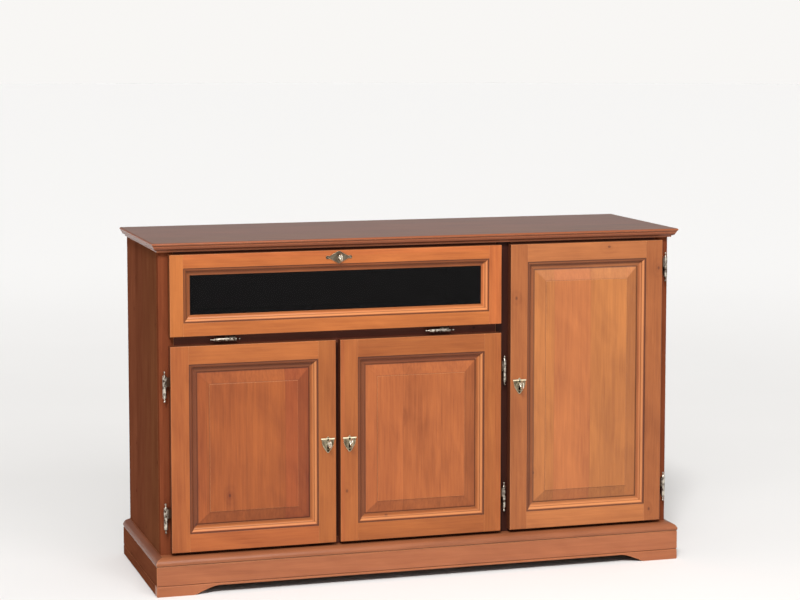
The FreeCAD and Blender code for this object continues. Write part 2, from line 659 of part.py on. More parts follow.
def make_flap():
    """The glazed flap with its glass, beads, hinges, lock and stays."""
    members = frame_members(FLAP, FLAP_FLAT, FLAP_MOULD, ring_section(FLAP_MOULD, GLASS_SIDE))
    members["bottom"] = cut_all(members["bottom"], [flap_leaf_slot(x) for x in FLAP_HINGES])
    holes = [keyhole(FLAP_KEY[0], FLAP_KEY[1], -1.0, DOOR_THICK + 1.0, 1.0)]
    members["top"] = cut_all(members["top"], holes + nail_holes(FLAP_KEY[0], FLAP_KEY[1], LOZENGE_PINS))
    seat = FLAP_FLAT + FLAP_MOULD - REBATE_WIDE + GLASS_CLEAR
    x0, x1, z0, z1 = FLAP
    hinges = [flap_hinge(x) for x in FLAP_HINGES]
    case, bolt = flap_lock()
    keep("flap_stiles", [members["left"], members["right"]])
    keep("flap_rails", [members["bottom"], members["top"]])
    glass_back = GLASS_FRONT + GLASS_THICK
    keep("flap_glass", box(x0 + seat, x1 - seat, GLASS_FRONT, glass_back, z0 + seat, z1 - seat))
    keep("flap_glazing_beads", glazing_beads(FLAP))
    keep("flap_hinge_leaves", [pair[0] for pair in hinges])
    keep("flap_lock_case", case)
    keep("flap_lock_bolt", bolt)
    keep("flap_escutcheon", lozenge(*FLAP_KEY))
    keep("flap_key", key_solid(*FLAP_KEY))
    return [pair[1] for pair in hinges]


def make_stays():
    """Both flap stays; the walls' sockets come back for cutting."""
    walls = (-BODY_HALF + PANEL, PARTITION[0])
    brackets, pins, sockets = [], [], []
    for label, x, wall in zip(("left", "right"), ARM_X, walls):
        arm, pivot, pin = stay_arm(x)
        toward = 1.0 if x > wall else -1.0
        brackets.append(stay_bracket(x, toward, pivot))
        peg, socket = stay_pin(x, wall, pin)
        pins.append(peg)
        sockets.append(socket)
        keep(label + "_stay_arm", arm)
    keep("flap_stay_brackets", brackets)
    keep("stay_pins", pins)
    return sockets


# ---- carcass ---------------------------------------------------------------------------------------
# Top board edge from the upper face down: rounded lip, quirk, bead, cove and fillet.
TOP_THICK = HEIGHT - TOP_UNDER
TOP_EDGE = [(3.6, 0.0), (1.06, 1.06, 0.0, 3.6), (1.0, 4.3), (1.0, 5.2), (2.9, 6.9, 3.4, 9.6), (5.0, 10.4),
            (7.6, 15.4, 13.0, 17.6), (13.0, TOP_THICK)]


def make_top():
    """The top board: front edge profile and both side profiles, mitred at the front corners."""
    half = TOP_WIDTH / 2
    depth = BACK - TOP_FRONT
    front_curve = TOP_EDGE + [(depth, TOP_THICK), (depth, 0.0)]
    along = V(TOP_WIDTH, 0, 0)
    front = prism(front_curve, lambda u, w: V(-half, row_y(TOP_FRONT + u), HEIGHT - w), along)
    across = mirrored([(half, 0.0)] + TOP_EDGE + [(half, TOP_THICK)], lambda u, w: (TOP_WIDTH - u, w))
    before = row_y(TOP_FRONT - 1.0)
    sides = prism(across, lambda u, w: V(-half + u, before, HEIGHT - w), V(0, depth + 1.0, 0))
    keep("top_board", front.common(sides).Solids[0])


def plinth_plan(part, half, front):
    """The plan of one side of the plinth, mitred at 45 degrees where it turns the front corners."""
    run = half - BODY_HALF
    inner = front + run
    if part == "front":
        return [(-half, front), (half, front), (BODY_HALF, inner), (BODY_HALF, FRAME_FRONT),
                (-BODY_HALF, FRAME_FRONT), (-BODY_HALF, inner)]
    sign = 1.0 if part == "right" else -1.0
    outer, body = sign * half, sign * BODY_HALF
    return [(outer, front), (body, inner), (body, BACK), (outer, BACK)]


def plinth_side(part, section, half, front, thick):
    """One mitred member of the plinth from its section as (u inwards, z)."""
    plan = plinth_plan(part, half, front)
    wedge = prism(plan, lambda x, d: V(x, row_y(d), -1.0), V(0, 0, PLINTH_TOP + 10.0))
    if part == "front":
        body = prism(section(thick), lambda u, z: V(-half, row_y(front + u), z), V(2 * half, 0, 0))
    else:
        sign = 1.0 if part == "right" else -1.0
        body = prism(section(half - BODY_HALF), lambda u, z: V(sign * (half - u), row_y(front), z),
                     V(0, BACK - front, 0))
    return body.common(wedge).Solids[0]


def moulding_section(thick):
    """The plinth's cap: a thumb-shaped slope, a bead and a quirk above the board."""
    return [(1.6, PLINTH_BOARD_TOP), (2.4, 69.6), (1.0, 70.6, 0.2, 73.2), (0.0, 76.0, 1.4, 78.6),
            (5.0, 83.4, 10.4, 86.0), (14.0, 87.2, 17.8, PLINTH_TOP), (thick, PLINTH_TOP),
            (thick, PLINTH_BOARD_TOP)]


def board_section(thick):
    """The upright plinth board with small roundings at both edges."""
    top, low = PLINTH_BOARD_TOP, PLINTH_BOARD_BOTTOM
    return [(2.0, low), (0.586, low + 0.586, 0.0, low + 2.0), (0.0, top - 1.6),
            (0.47, top - 0.47, 1.6, top), (thick, top), (thick, low)]


def bracket_board(front_thick):
    """The front foot board: two feet joined by a low arch with ogee shoulders."""
    half = BODY_HALF + BOARD_OUT
    top = PLINTH_BOARD_BOTTOM
    shoulder = half - FOOT_FLAT
    points = [(-half, SOLE_CHAMFER), (-half + SOLE_CHAMFER, 0.0), (-shoulder, 0.0),
              (-shoulder + 9.0, 1.46, -shoulder + 17.0, 5.6),
              (-shoulder + 39.0, 14.0), (-shoulder + 52.0, 18.0, -shoulder + 74.0, ARCH_TOP)]
    points = mirrored(points, lambda x, z: (-x, z))
    side = half - V_JOINT
    points += [(half, top - V_JOINT), (side, top), (-side, top), (-half, top - V_JOINT)]
    d0 = PLINTH_FRONT + CAP_OUT - BOARD_OUT
    board = prism(points, lambda x, z: V(x, row_y(d0), z), V(0, front_thick, 0))
    chamfer = prism([(0.0, 0.0), (V_JOINT, 0.0), (0.0, -V_JOINT)],
                    lambda d, z: V(-half, row_y(d0 + d), top + z), V(2 * half, 0, 0))
    return cut_all(board, [chamfer])


def side_runner(sign, front_thick):
    """A straight foot runner under one side."""
    outer = BODY_HALF + BOARD_OUT
    top = PLINTH_BOARD_BOTTOM
    section = [(0.0, SOLE_CHAMFER), (SOLE_CHAMFER, 0.0), (RUNNER, 0.0), (RUNNER, top), (V_JOINT, top),
               (0.0, top - V_JOINT)]
    start = PLINTH_FRONT + CAP_OUT - BOARD_OUT + front_thick
    return prism(section, lambda u, z: V(sign * (outer - u), row_y(start), z), V(0, BACK - start, 0))


def make_plinth():
    """Boards, mouldings, bracket board and runners."""
    board_thick = PANEL
    board_half = BODY_HALF + BOARD_OUT
    cap_thick = FRAME_FRONT - PLINTH_FRONT
    front = PLINTH_FRONT + CAP_OUT - BOARD_OUT
    keep("plinth_front_board", plinth_side("front", board_section, board_half, front, board_thick))
    keep("plinth_side_boards",
         [plinth_side(s, board_section, board_half, front, 0) for s in ("left", "right")])
    cap_half = BODY_HALF + CAP_OUT
    keep("plinth_front_moulding",
         plinth_side("front", moulding_section, cap_half, PLINTH_FRONT, cap_thick))
    keep("plinth_side_mouldings",
         [plinth_side(s, moulding_section, cap_half, PLINTH_FRONT, 0) for s in ("left", "right")])
    keep("front_bracket_board", bracket_board(board_thick))
    keep("side_runners", [side_runner(sign, board_thick) for sign in (-1.0, 1.0)])


def bolt_mortise(key, wall_x, direction):
    """The hole in a post for a door bolt."""
    xa, xb = sorted((wall_x, wall_x + direction * MORTISE_DEEP))
    half = BOLT_TALL / 2 + MORTISE_FIT
    d1 = BOLT_FRONT + BOLT_THICK + MORTISE_FIT
    return box(xa, xb, BOLT_FRONT - MORTISE_FIT, d1, key[1] - half, key[1] + half)


def strike(key, wall_x, direction):
    """The recess in a post and the thin plate in it, with the bolt's slot."""
    xa, xb = sorted((wall_x, wall_x + direction * STRIKE_THICK))
    half = BOLT_TALL / 2 + STRIKE_MORE
    d0, d1 = BOLT_FRONT - STRIKE_FRONT, BOLT_FRONT + BOLT_THICK + STRIKE_BACK
    recess = box(xa, xb, d0, d1, key[1] - half, key[1] + half)
    return recess, cut_all(recess, [bolt_mortise(key, wall_x, direction)])


def flap_strike():
    """The recess, plate and mortise for the flap's bolt under the top rail."""
    x = FLAP_KEY[0]
    hole_half = BOLT_TALL / 2 + MORTISE_FIT
    half = BOLT_TALL / 2 + STRIKE_MORE
    d0, d1 = BOLT_FRONT, BOLT_FRONT + BOLT_THICK
    low = TOP_RAIL_BOTTOM
    hole = box(x - hole_half, x + hole_half, d0 - MORTISE_FIT, d1 + MORTISE_FIT, low, low + FLAP_MORTISE)
    recess = box(x - half, x + half, d0 - STRIKE_FRONT, d1 + STRIKE_BACK, low, low + STRIKE_THICK)
    return hole, recess, cut_all(recess, [hole])


def make_front_frame():
    """Posts, mullion and rails behind the doors, with mortises for hinges and bolts."""
    inner = BODY_HALF - CORNER_POST
    low, high = PLINTH_BOARD_BOTTOM, TOP_UNDER
    face = row_y(FRAME_FRONT)
    posts = []
    for sign, zs in ((-1.0, LOWER_HINGES), (1.0, TALL_HINGES)):
        xa, xb = sorted((sign * inner, sign * BODY_HALF))
        post = ease(box(xa, xb, FRAME_FRONT, FRAME_BACK, low, high), EASE,
                    lambda p, edge=sign * BODY_HALF: near(p.x, edge) and near(p.y, face))
        posts.append(cut_all(post, [post_slot(sign * DOOR_AXIS_X, z) for z in zs]))
    keep("front_corner_posts", posts)
    strikes = [strike(TALL_KEY, MIDDLE_POST[1], -1.0), strike(LEFT_KEY, MULLION[0], 1.0),
               strike(CENTRE_KEY, MULLION[1], -1.0)]
    middle = box(MIDDLE_POST[0], MIDDLE_POST[1], FRAME_FRONT, FRAME_BACK, RAIL_BOTTOM, high)
    middle_tools = [post_slot(CENTRE_AXIS_X, z) for z in LOWER_HINGES]
    middle_tools += [bolt_mortise(TALL_KEY, MIDDLE_POST[1], -1.0), strikes[0][0]]
    mullion = box(MULLION[0], MULLION[1], FRAME_FRONT, FRAME_BACK, FLOOR_TOP, MID_RAIL_BOTTOM)
    mullion_tools = [bolt_mortise(LEFT_KEY, MULLION[0], 1.0), bolt_mortise(CENTRE_KEY, MULLION[1], -1.0),
                     strikes[1][0], strikes[2][0]]
    keep("inner_posts", [cut_all(middle, middle_tools), cut_all(mullion, mullion_tools)])
    hole, recess, flap_plate = flap_strike()
    keep("strike_plates", [pair[1] for pair in strikes] + [flap_plate])
    spans = ((-inner, MIDDLE_POST[0]), (MIDDLE_POST[1], inner))
    rails = []
    for xa, xb in spans:
        rails.append(box(xa, xb, FRAME_FRONT, FRAME_BACK, RAIL_BOTTOM, FLOOR_TOP))
        rails.append(box(xa, xb, FRAME_FRONT, FRAME_BACK, TOP_RAIL_BOTTOM, TOP_UNDER))
    rails[1] = cut_all(rails[1], [hole, recess])
    middle_rail = box(spans[0][0], spans[0][1], FRAME_FRONT, FRAME_BACK, MID_RAIL_BOTTOM, MID_RAIL_TOP)
    rails.append(cut_all(middle_rail, [rail_leaf_slot(x) for x in FLAP_HINGES]))
    keep("front_rails", rails)


def make_boards(sockets):
    """Side panels, partition, fixed and loose shelves, bottom and their pins."""
    inside = BODY_HALF - PANEL
    back_front = BACK - BACK_INSET - BACK_PANEL
    for name, sign, socket in (("left_side_panel", -1.0, sockets[:1]), ("right_side_panel", 1.0, [])):
        xa, xb = sorted((sign * inside, sign * BODY_HALF))
        board = box(xa, xb, FRAME_BACK, BACK, PLINTH_BOARD_BOTTOM, TOP_UNDER)
        xr = sorted((sign * inside, sign * (inside + REBATE_IN)))
        rebate = box(xr[0], xr[1], back_front, BACK + 1.0, FLOOR_TOP - SHELF, TOP_UNDER + 1.0)
        keep(name, cut_all(board, [rebate] + socket + pin_sockets(sign)))
    partition = box(PARTITION[0], PARTITION[1], FRAME_BACK, back_front, FLOOR_TOP, TOP_UNDER)
    keep("partition", cut_all(partition, sockets[1:] + pin_sockets(0.0)))
    keep("bottom_panel", box(-inside, inside, FRAME_BACK, back_front, FLOOR_TOP - SHELF, FLOOR_TOP))
    keep("recorder_shelf",
         box(-inside, PARTITION[0], FRAME_BACK, back_front, MID_RAIL_TOP - SHELF, MID_RAIL_TOP))
    keep("left_shelf", box(-inside + 1, PARTITION[0] - 1, SHELF_FRONT, SHELF_BACK,
                           LEFT_SHELF_Z, LEFT_SHELF_Z + THIN_SHELF))
    keep("right_shelves", [box(PARTITION[1] + 1, inside - 1, SHELF_FRONT, SHELF_BACK, z, z + THIN_SHELF)
                           for z in RIGHT_SHELF_Z])


def pin_places():
    """Where shelf pins stand: wall X, direction into the wall, and height."""
    inside = BODY_HALF - PANEL
    places = [(-inside, -1.0, LEFT_SHELF_Z), (PARTITION[0], 1.0, LEFT_SHELF_Z)]
    for z in RIGHT_SHELF_Z:
        places += [(PARTITION[1], -1.0, z), (inside, 1.0, z)]
    depths = (SHELF_FRONT + SHELF_PIN_EDGE, SHELF_BACK - SHELF_PIN_EDGE)
    return [(x, into, z, depth) for x, into, z in places for depth in depths]


def pin_sockets(sign):
    """Sockets for the shelf pins in the left side (-1), the right side (1) or the partition (0)."""
    sockets = []
    for x, into, z, depth in pin_places():
        wall = 0.0 if abs(x) < PARTITION[1] + 1.0 else math.copysign(1.0, x)
        if wall == sign:
            sockets.append(rod(x, depth, z - SHELF_PIN_R, SHELF_PIN_R, SHELF_PIN_IN, V(into, 0, 0)))
    return sockets


def make_pins():
    """The metal pins that carry the loose shelves."""
    pins = []
    for x, into, z, depth in pin_places():
        start = x + into * SHELF_PIN_IN
        pins.append(rod(start, depth, z - SHELF_PIN_R, SHELF_PIN_R, SHELF_PIN_LONG, V(-into, 0, 0)))
    keep("shelf_pins", pins)


def make_backs():
    """Two thin back panels and the screws that hold them."""
    front = BACK - BACK_INSET - BACK_PANEL
    inside = BODY_HALF - PANEL
    edge = inside + REBATE_IN - BACK_CLEAR
    split = sum(PARTITION) / 2
    low, high = FLOOR_TOP - SHELF, TOP_UNDER
    x, z, radius = CABLE_HOLE
    left = box(-edge, split - BACK_CLEAR / 2, front, front + BACK_PANEL, low, high)
    right = box(split + BACK_CLEAR / 2, edge, front, front + BACK_PANEL, low, high)
    screws = []
    holes = []
    columns = (-inside - SIDE_SCREW, split - MIDDLE_SCREW, split + MIDDLE_SCREW, inside + SIDE_SCREW)
    for sx in columns:
        for sz in (low + SCREW_EDGE, MID_RAIL_TOP - SHELF / 2, high - SCREW_EDGE):
            head = Part.makeSphere(SCREW_HEAD_R, V(sx, row_y(front + BACK_PANEL - SCREW_SUNK), sz))
            shown = head.common(box(sx - 5, sx + 5, front + BACK_PANEL, BACK, sz - 5, sz + 5))
            shank = rod(sx, front + SHANK_GAP, sz, SCREW_R, BACK_PANEL, V(0, 1, 0))
            screws.append(fuse([shown, shank]))
            holes.append(rod(sx, front - 1.0, sz, SCREW_R, BACK_PANEL + 2.0, V(0, 1, 0)))
    hole = rod(x, front - 1.0, z, radius, BACK_PANEL + 2.0, V(0, 1, 0))
    keep("left_back_panel", cut_all(left, [hole] + holes[:6]))
    keep("right_back_panel", cut_all(right, holes[6:]))
    keep("back_screws", screws)


def main():
    """Build every node and write it."""
    fixed = make_flap()
    sockets = make_stays()
    fixed += make_door("left_door", LEFT_DOOR, -DOOR_AXIS_X, 1.0, LOWER_HINGES, LEFT_KEY, LEFT_CASE_END)
    fixed += make_door("centre_door", CENTRE_DOOR, CENTRE_AXIS_X, -1.0, LOWER_HINGES, CENTRE_KEY,
                       CENTRE_CASE_END)
    fixed += make_door("tall_door", TALL_DOOR, DOOR_AXIS_X, -1.0, TALL_HINGES, TALL_KEY, TALL_CASE_END)
    keep("frame_hinge_leaves", fixed)
    make_top()
    make_boards(sockets)
    make_front_frame()
    make_plinth()
    make_pins()
    make_backs()
    write_nodes()


main()
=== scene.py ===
"""Looks for the console television cabinet: lacquered cherry-stained wood, glass, brass and steel."""
import json
import math

import bpy
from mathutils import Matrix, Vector


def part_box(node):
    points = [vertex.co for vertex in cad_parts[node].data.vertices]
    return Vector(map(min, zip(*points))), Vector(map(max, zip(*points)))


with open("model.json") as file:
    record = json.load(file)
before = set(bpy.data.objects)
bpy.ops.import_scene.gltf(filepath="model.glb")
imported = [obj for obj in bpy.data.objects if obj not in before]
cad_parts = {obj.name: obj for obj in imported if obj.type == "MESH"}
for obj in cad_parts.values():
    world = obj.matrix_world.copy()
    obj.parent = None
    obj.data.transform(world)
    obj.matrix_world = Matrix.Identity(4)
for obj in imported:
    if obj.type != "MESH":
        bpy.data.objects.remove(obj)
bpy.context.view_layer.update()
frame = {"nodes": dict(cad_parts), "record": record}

NODES = frame["nodes"]
JOINTS = frame["record"]["behaviour"]["joints"]
DOOR_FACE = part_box("left_door_stiles")[0].y


# ---- node graph helpers ---------------------------------------------------------------------------
class Graph:
    """A small wrapper that builds a material's nodes one call at a time."""

    def __init__(self, name):
        self.material = bpy.data.materials.new(name)
        self.material.use_nodes = True
        self.tree = self.material.node_tree
        self.tree.nodes.clear()
        self.output = self.tree.nodes.new("ShaderNodeOutputMaterial")

    def node(self, kind, inputs=None, **settings):
        """A node with its settings and inputs; an input is a socket or a value."""
        made = self.tree.nodes.new(kind)
        for key, value in settings.items():
            setattr(made, key, value)
        for key, value in (inputs or {}).items():
            if isinstance(value, bpy.types.NodeSocket):
                self.tree.links.new(value, made.inputs[key])
            else:
                made.inputs[key].default_value = value
        return made

    def math(self, operation, a, b=0.0, c=0.0, clamp=False):
        """A Math node's result."""
        made = self.node("ShaderNodeMath", {0: a, 1: b, 2: c}, operation=operation)
        made.use_clamp = clamp
        return made.outputs[0]

    def smooth(self, value, low, high, to_low=0.0, to_high=1.0):
        """A smooth step of a value from low to high."""
        inputs = {"Value": value, "From Min": low, "From Max": high, "To Min": to_low, "To Max": to_high}
        return self.node("ShaderNodeMapRange", inputs, interpolation_type="SMOOTHSTEP").outputs[0]

    def span(self, value, to_low, to_high):
        """A value from 0 to 1, spread evenly from to_low to to_high."""
        inputs = {"Value": value, "To Min": to_low, "To Max": to_high}
        return self.node("ShaderNodeMapRange", inputs).outputs[0]

    def place(self, output="Object"):
        """Object coordinates, or the normal in them."""
        return self.node("ShaderNodeTexCoord").outputs[output]

    def split(self, vector):
        """A vector's three parts."""
        return self.node("ShaderNodeSeparateXYZ", {0: vector}).outputs

    def mix(self, factor, a, b):
        """A colour mix; a and b are colours or colour sockets."""
        made = self.tree.nodes.new("ShaderNodeMix")
        made.data_type = "RGBA"
        for index, value in ((0, factor), (6, a), (7, b)):
            if isinstance(value, bpy.types.NodeSocket):
                self.tree.links.new(value, made.inputs[index])
            else:
                made.inputs[index].default_value = value
        return made.outputs[2]

    def vector(self, x, y, z):
        """Three values as one vector."""
        return self.node("ShaderNodeCombineXYZ", {0: x, 1: y, 2: z}).outputs[0]

    def noise(self, vector, scale, detail=3.0, roughness=0.5, distortion=0.0):
        """Noise from 0 to 1."""
        inputs = {"Vector": vector, "Scale": scale, "Detail": detail, "Roughness": roughness,
                  "Distortion": distortion}
        return self.node("ShaderNodeTexNoise", inputs).outputs["Fac"]

    def finish(self, shader):
        """Joins the shader to the output and returns the material."""
        self.tree.links.new(shader, self.output.inputs["Surface"])
        return self.material


def rgb(red, green, blue):
    """A colour given as 0 to 255 screen values, made linear."""
    def linear(value):
        value /= 255.0
        return value / 12.92 if value <= 0.04045 else ((value + 0.055) / 1.055) ** 2.4
    return (linear(red), linear(green), linear(blue), 1.0)


# ---- wood ------------------------------------------------------------------------------------------
STAVE = 0.092                  # width of the glued staves
STAVE_WANDER = 0.004           # how far a glue line wanders
STAVE_START = 5.013            # keeps the count of staves positive
STAVE_STEP = 0.037             # moves the glue lines of each board by its seed
KNOT_CELLS = 6.4               # cells per metre that may hold one pin knot
KNOT_CHANCE = 0.62             # share of those cells that hold one
KNOT_SQUEEZE = 0.7             # how far knots stretch along the grain
KNOT_RIM = (0.024, 0.010)      # distances, in cells, where a knot begins and where it is full
KNOT_DARKNESS = 0.54
SWIRL_REACH = 0.14             # how far, in cells, the figure bends around a knot
SWIRL_WEIGHT = -0.16           # how much that changes the tone
RINGS = 80.0                   # how closely the growth rings follow each other
RING_WEIGHT = 0.045
STAVE_SHIFT = (7.0, 9.0, 11.0)    # how far one stave's figure may lie from the next one's
# layers of the figure: squeeze along the grain, slant, scale, detail, roughness, distortion and weight of
# the streaks, the slanting figure, the clouds and the fine fibre
FIGURE = ((0.042, 0.0, 210.0, 3.0, 0.55, 0.0, 0.80),
          (0.42, 0.30, 17.0, 3.0, 0.5, 0.6, 0.75),
          (0.30, 0.0, 9.0, 2.0, 0.5, 0.0, 0.65),
          (0.03, 0.0, 720.0, 3.0, 0.6, 0.0, 0.45))
JOINT_DARKNESS = 0.16          # of the glue lines between staves
JOINT_RIM = (0.010, 0.002)     # distances, in staves, where a glue line begins and where it is full
STAVE_VALUE = (0.93, 1.06)     # range of the staves' brightness, and below of their hue
STAVE_HUE = (0.4960, 0.5025)
EDGE_ROUND = 0.0013            # shading radius of sharp edges
PLAIN_WEAR_AND_HIGHLIGHT = 0.6               # how strongly the edges of a plain board are worn and brightened as a painted highlight
FRONT_WEAR_AND_HIGHLIGHT = (0.75, 0.22)      # the same on the outline of a front, and inside it
EDGE_TURN = (0.95, 0.75, 0.0, 0.8)    # upward normal where a board's edge begins and is full; its strength
WEAR_AND_HIGHLIGHT_TURN = (0.985, 0.86)      # agreement of the rounded and the true normal: edge unbrightened, edge fully worn and painted as a highlight
OUTLINE = (0.0030, 0.0050)     # distance from a front's outline where its strong wear and painted highlight end

DOOR_WOOD = {"light": rgb(170, 97, 48), "dark": rgb(130, 66, 30), "deep": rgb(54, 22, 22)}
LEFT_FIELD = {"light": rgb(160, 85, 40), "dark": rgb(114, 52, 25), "deep": rgb(50, 20, 16)}
CENTRE_FIELD = {"light": rgb(176, 100, 52), "dark": rgb(126, 64, 32), "deep": rgb(54, 22, 18)}
FLAP_WOOD = {"light": rgb(184, 106, 52), "dark": rgb(142, 74, 32), "deep": rgb(56, 22, 16)}
TALL_STILE = {"light": rgb(166, 98, 54), "dark": rgb(126, 68, 36), "deep": rgb(58, 26, 24)}
TALL_RAIL = {"light": rgb(184, 112, 64), "dark": rgb(144, 82, 46), "deep": rgb(58, 26, 24)}
TALL_FIELD = {"light": rgb(186, 114, 60), "dark": rgb(140, 80, 42), "deep": rgb(58, 26, 20)}
# the sides are darker than the fronts: painted shade
SHADED_SIDE_WOOD = {"light": rgb(128, 76, 50), "dark": rgb(96, 52, 34), "deep": rgb(38, 18, 14)}
POST_WOOD = {"light": rgb(126, 70, 42), "dark": rgb(94, 47, 28), "deep": rgb(42, 18, 14)}
TOP_WOOD = {"light": rgb(128, 80, 58), "dark": rgb(100, 60, 44), "deep": rgb(46, 22, 16)}
PLINTH_WOOD = {"light": rgb(168, 104, 66), "dark": rgb(134, 78, 48), "deep": rgb(52, 24, 18)}
CAP_WOOD = {"light": rgb(154, 94, 60), "dark": rgb(120, 70, 44), "deep": rgb(48, 22, 16)}
RAIL_WOOD = {"light": rgb(104, 58, 42), "dark": rgb(78, 40, 30), "deep": rgb(30, 14, 12)}
# the inner posts behind the gaps between the doors: darker wood and painted shade
POCKET_WOOD = {"light": rgb(64, 30, 22), "dark": rgb(42, 20, 16), "deep": rgb(24, 12, 10)}
INNER_WOOD = {"light": rgb(112, 64, 44), "dark": rgb(84, 45, 32), "deep": rgb(34, 18, 14)}

# bands of depth behind the door faces darkened as painted shade in the moulding's creases: from, to, strength
FRAME_LINES = ((0.0002, 0.0019, 0.72), (0.0074, 0.0088, 0.60), (0.0106, 0.0128, 0.75))
PANEL_LINES = ((0.0038, 0.0049, 0.34), (0.0112, 0.0128, 0.65))
# slopes to the right and downwards, darkened as painted shade away from the light: where it begins, where it
# is full, its strength
FRAME_SLOPES = (0.10, 0.50, 0.60)
PANEL_SLOPES = (0.08, 0.24, 0.18)
# steps of the normal: where each begins, where it is full, its strength before and after
# painted shade on faces across the front, in the gaps between parts
ACROSS_SHADE_STEP = (0.45, 0.15, 0.0, 0.70)
# painted shade on faces that look down
DOWN_SHADE_STEP = (0.10, 0.70, 0.0, 0.62)
# painted highlight on slopes to the left and upwards that face forward
LIT_SLOPE_STEP = (0.24, 0.60, 0.0, 0.42)
FORWARD_STEP = (-0.10, -0.30)
# steps of depth behind the door faces, in metres: entering and leaving a band, entering and leaving the
# moulding under a painted cast shadow
BAND_STEPS = ((-0.0001, 0.0004), (0.0003, -0.0003))
SHADOW_DEPTH_STEPS = ((0.0003, 0.0020), (0.0150, 0.0130))
# bright tone of worn edges, also painted as a highlight on edges and on lit slopes
WEAR_AND_HIGHLIGHT = rgb(232, 158, 104)
TOP_EDGE = rgb(146, 76, 42)


def wood_axes(graph, along, across, seed):
    """Coordinates along, across and through the board, the stave's random node and the place in the stave."""
    parts = graph.split(graph.place())
    through = ({"X", "Y", "Z"} - {along, across}).pop()
    length, width, depth = (parts["XYZ".index(name)] for name in (along, across, through))
    slow = graph.noise(graph.vector(seed, 0.0, length), 1.3, 1.0)
    wander = graph.math("MULTIPLY", graph.math("SUBTRACT", slow, 0.5), STAVE_WANDER)
    wavy = graph.math("ADD", wander, width)
    staves = graph.math("DIVIDE", graph.math("ADD", wavy, STAVE_START + seed * STAVE_STEP), STAVE)
    index = graph.math("FLOOR", staves)
    random = graph.node("ShaderNodeTexWhiteNoise", {"Vector": graph.vector(index, seed, 0.0)},
                        noise_dimensions="3D")
    return length, width, depth, random, graph.math("FRACT", staves)


def wood_figure(graph, length, width, depth, random):
    """Three values: the tone around 0.5 that all the figure makes, the fine fibre alone, and the knots."""
    shift = graph.node("ShaderNodeVectorMath", {0: random.outputs["Color"], 1: STAVE_SHIFT},
                       operation="MULTIPLY").outputs[0]

    def stretched(squeeze, slant=0.0):
        """Board coordinates squeezed along the grain, slanted, and moved by the stave's own offset."""
        leaning = graph.math("MULTIPLY_ADD", length, slant, width)
        squeezed = graph.vector(leaning, depth, graph.math("MULTIPLY", length, squeeze))
        return graph.node("ShaderNodeVectorMath", {0: squeezed, 1: shift}, operation="ADD").outputs[0]

    flat = graph.vector(width, graph.math("MULTIPLY", length, KNOT_SQUEEZE), 0.0)
    knot_place = graph.node("ShaderNodeVectorMath", {0: flat, 1: shift}, operation="ADD").outputs[0]
    knots = graph.node("ShaderNodeTexVoronoi", {"Vector": knot_place, "Scale": KNOT_CELLS},
                       voronoi_dimensions="2D")
    chance = graph.node("ShaderNodeSeparateColor", {0: knots.outputs["Color"]}).outputs[0]
    chosen = graph.math("GREATER_THAN", chance, 1.0 - KNOT_CHANCE)
    knot = graph.math("MULTIPLY", graph.smooth(knots.outputs["Distance"], *KNOT_RIM), chosen)
    swirl = graph.math("MULTIPLY", graph.smooth(knots.outputs["Distance"], SWIRL_REACH, 0.0), chosen)
    tone = 0.5
    layers = []
    for squeeze, slant, scale, detail, roughness, distortion, weight in FIGURE:
        layers.append(graph.noise(stretched(squeeze, slant), scale, detail, roughness, distortion))
        change = graph.math("MULTIPLY", graph.math("SUBTRACT", layers[-1], 0.5), weight)
        tone = graph.math("ADD", tone, change)
    hills = graph.noise(stretched(0.10), 6.0, 2.0, 0.45)
    rings = graph.math("SINE", graph.math("MULTIPLY", graph.math("MULTIPLY_ADD", swirl, 0.12, hills), RINGS))
    tone = graph.math("MULTIPLY_ADD", rings, RING_WEIGHT, tone)
    tone = graph.math("MULTIPLY_ADD", swirl, SWIRL_WEIGHT, tone, clamp=True)
    return tone, layers[-1], knot


def edge_wear_and_highlight(graph, round_edges):
    """1 on sharp edges, where the rounded shading leaves the true face: there edges are worn and get a
    painted highlight.
    """
    straight = graph.node("ShaderNodeNewGeometry").outputs["Normal"]
    same = graph.node("ShaderNodeVectorMath", {0: round_edges, 1: straight}, operation="DOT_PRODUCT")
    return graph.smooth(same.outputs["Value"], *WEAR_AND_HIGHLIGHT_TURN)


def outline(graph, border):
    """How strongly an edge is worn and brightened as a painted highlight: most along the outline of a front,
    little inside it.
    """
    low, high = border
    x, _y, z = graph.split(graph.place())
    inside = graph.math("MINIMUM", graph.math("SUBTRACT", x, low.x), graph.math("SUBTRACT", high.x, x))
    inside = graph.math("MINIMUM", inside, graph.math("SUBTRACT", z, low.z))
    inside = graph.math("MINIMUM", inside, graph.math("SUBTRACT", high.z, z))
    return graph.smooth(inside, *OUTLINE, *FRONT_WEAR_AND_HIGHLIGHT)


